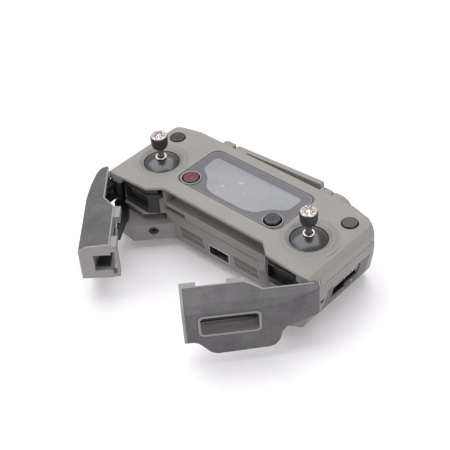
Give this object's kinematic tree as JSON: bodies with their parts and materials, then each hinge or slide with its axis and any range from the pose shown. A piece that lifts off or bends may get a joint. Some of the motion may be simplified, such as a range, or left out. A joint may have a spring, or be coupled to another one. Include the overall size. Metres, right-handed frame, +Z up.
{
  "type": "radio transmitter controller",
  "caption": "Folding two-stick radio controller with swing-out phone clamps, hinged antennas, a status screen, keys, dials and a mode switch.",
  "frame": {"origin": "centre of the flat base, under the middle of the line between the two sticks", "axes": "+X to the pilot's right, +Y away from the pilot to the antenna side, +Z up out of the top face"},
  "size_m": [0.1534, 0.121, 0.0594],
  "materials": {
    "warm_shell": "fine matte grain",
    "cool_shell": "fine matte grain",
    "clamp_rubber": "soft grained rubber",
    "black_rubber": "matte black rubber",
    "black_plastic": "satin black",
    "dome_plastic": "satin black, soft highlights",
    "window": "hard-coated clear grey",
    "screen": "reflective screen, switched off",
    "key_black": "semi-gloss",
    "pause_key": "black with a red ring mark",
    "bright_metal": "machined, pale",
    "steel": "plain steel",
    "dark_steel": "blackened",
    "board": "solder mask",
    "battery_wrap": "shrink film",
    "socket_metal": "plated",
    "switch_body": "moulded"
  },
  "bodies": {
    "housing": {"top_shell": "warm_shell", "bottom_shell": "cool_shell", "front_panel": "cool_shell", "left_antenna_mount": "warm_shell", "right_antenna_mount": "warm_shell", "left_stick_store": "black_rubber", "right_stick_store": "black_rubber", "left_grip": "clamp_rubber", "right_grip": "clamp_rubber", "display_window": "window", "lcd_panel": "screen", "button_rings": "bright_metal", "main_board": "board", "radio_board": "board", "button_boards": "board", "battery": "battery_wrap", "usb_socket": "socket_metal", "charge_socket": "socket_metal", "left_gimbal_base": "black_plastic", "right_gimbal_base": "black_plastic", "tact_switches": "switch_body", "switch_housing": "cool_shell", "hinge_pins": "steel", "case_screws": "dark_steel"},
    "left_clamp": {"left_clamp_cover": "clamp_rubber", "left_clamp_frame": "warm_shell", "left_clamp_pads": "black_rubber", "left_hinge_arm": "black_plastic"},
    "left_antenna": {"left_antenna": "warm_shell"},
    "left_gimbal": {"left_gimbal_ring": "black_plastic"},
    "left_stick": {"left_stick_stem": "dark_steel", "left_stick_dome": "dome_plastic", "left_stick_barrel": "black_rubber", "left_stick_metal": "bright_metal"},
    "left_dial": {"left_dial": "key_black"},
    "left_custom_key": {"left_custom_button": "key_black"},
    "right_clamp": {"right_clamp_cover": "clamp_rubber", "right_clamp_frame": "warm_shell", "right_clamp_pads": "black_rubber", "right_hinge_arm": "black_plastic"},
    "right_antenna": {"right_antenna": "warm_shell"},
    "right_gimbal": {"right_gimbal_ring": "black_plastic"},
    "right_stick": {"right_stick_stem": "dark_steel", "right_stick_dome": "dome_plastic", "right_stick_barrel": "black_rubber", "right_stick_metal": "bright_metal"},
    "right_dial": {"right_dial": "key_black"},
    "right_custom_key": {"right_custom_button": "key_black"},
    "home_key": {"home_button": "key_black"},
    "power_key": {"power_button": "key_black"},
    "pause_key": {"pause_button": "pause_key"},
    "five_way_press": {"five_way_plunger": "black_plastic"},
    "five_way_rocker": {"five_way_rocker": "steel"},
    "five_way_cap": {"five_way_cap": "key_black"},
    "record_key": {"record_button": "key_black"},
    "shutter_key": {"shutter_button": "key_black"},
    "mode_slider": {"mode_switch": "black_rubber"}
  },
  "joints": [
    {"name": "left_clamp_fold", "type": "hinge", "parent": "housing", "child": "left_clamp", "pos_m": [-0.068, -0.02, 0.028], "axis": [0, 0, -1], "range_deg": [-46, 40]},
    {"name": "left_antenna_lift", "type": "hinge", "parent": "housing", "child": "left_antenna", "pos_m": [-0.0325, 0.04, 0.0311], "axis": [0, -1, 0], "range_deg": [-3, 86]},
    {"name": "left_stick_pitch", "type": "hinge", "parent": "housing", "child": "left_gimbal", "pos_m": [-0.052, 0, 0.0274], "axis": [1, 0, 0], "range_deg": [-17, 17], "stiffness_Nm_per_rad": 0.03},
    {"name": "left_stick_roll", "type": "hinge", "parent": "left_gimbal", "child": "left_stick", "pos_m": [-0.052, 0, 0.0274], "axis": [0, 1, 0], "range_deg": [-17, 17], "stiffness_Nm_per_rad": 0.03},
    {"name": "left_custom_press", "type": "slide", "parent": "housing", "child": "left_custom_key", "axis": [0, -1, 0], "range_m": [0, 0.0008], "stiffness_N_per_m": 1500},
    {"name": "right_clamp_fold", "type": "hinge", "parent": "housing", "child": "right_clamp", "pos_m": [0.068, -0.02, 0.028], "axis": [0, 0, 1], "range_deg": [-46, 40]},
    {"name": "right_antenna_lift", "type": "hinge", "parent": "housing", "child": "right_antenna", "pos_m": [0.0325, 0.04, 0.0311], "axis": [0, 1, 0], "range_deg": [0, 90]},
    {"name": "right_stick_pitch", "type": "hinge", "parent": "housing", "child": "right_gimbal", "pos_m": [0.052, 0, 0.0274], "axis": [1, 0, 0], "range_deg": [-17, 17], "stiffness_Nm_per_rad": 0.03},
    {"name": "right_stick_roll", "type": "hinge", "parent": "right_gimbal", "child": "right_stick", "pos_m": [0.052, 0, 0.0274], "axis": [0, 1, 0], "range_deg": [-17, 17], "stiffness_Nm_per_rad": 0.03},
    {"name": "right_custom_press", "type": "slide", "parent": "housing", "child": "right_custom_key", "axis": [0, -1, 0], "range_m": [0, 0.0008], "stiffness_N_per_m": 1500},
    {"name": "home_press", "type": "slide", "parent": "housing", "child": "home_key", "axis": [0, 0, -1], "range_m": [0, 0.0007], "stiffness_N_per_m": 1500},
    {"name": "power_press", "type": "slide", "parent": "housing", "child": "power_key", "axis": [0, 0, -1], "range_m": [0, 0.0007], "stiffness_N_per_m": 1500},
    {"name": "pause_press", "type": "slide", "parent": "housing", "child": "pause_key", "axis": [0, 0, -1], "range_m": [0, 0.0007], "stiffness_N_per_m": 1500},
    {"name": "five_way_press", "type": "slide", "parent": "housing", "child": "five_way_press", "axis": [0, 0, -1], "range_m": [0, 0.0006], "stiffness_N_per_m": 2000},
    {"name": "five_way_tilt_forward", "type": "hinge", "parent": "five_way_press", "child": "five_way_rocker", "pos_m": [0.0289, -0.0008, 0.0362], "axis": [1, 0, 0], "range_deg": [-5, 5], "stiffness_Nm_per_rad": 0.08},
    {"name": "five_way_tilt_sideways", "type": "hinge", "parent": "five_way_rocker", "child": "five_way_cap", "pos_m": [0.0289, -0.0008, 0.0362], "axis": [0, 1, 0], "range_deg": [-5, 5], "stiffness_Nm_per_rad": 0.08},
    {"name": "record_press", "type": "slide", "parent": "housing", "child": "record_key", "axis": [0, -1, 0], "range_m": [0, 0.001], "stiffness_N_per_m": 1500},
    {"name": "shutter_press", "type": "slide", "parent": "housing", "child": "shutter_key", "axis": [0, -1, 0], "range_m": [0, 0.001], "stiffness_N_per_m": 1500},
    {"name": "mode_slide", "type": "slide", "parent": "housing", "child": "mode_slider", "axis": [0, -1, 0], "range_m": [0, 0.006]},
    {"name": "left_dial_turn", "type": "hinge", "parent": "housing", "child": "left_dial", "pos_m": [-0.046, 0.0296, 0.0218], "axis": [0, 0, 1], "range_deg": [-30, 30], "stiffness_Nm_per_rad": 0.02},
    {"name": "right_dial_turn", "type": "hinge", "parent": "housing", "child": "right_dial", "pos_m": [0.046, 0.0296, 0.0218], "axis": [0, 0, 1], "continuous": true}
  ]
}
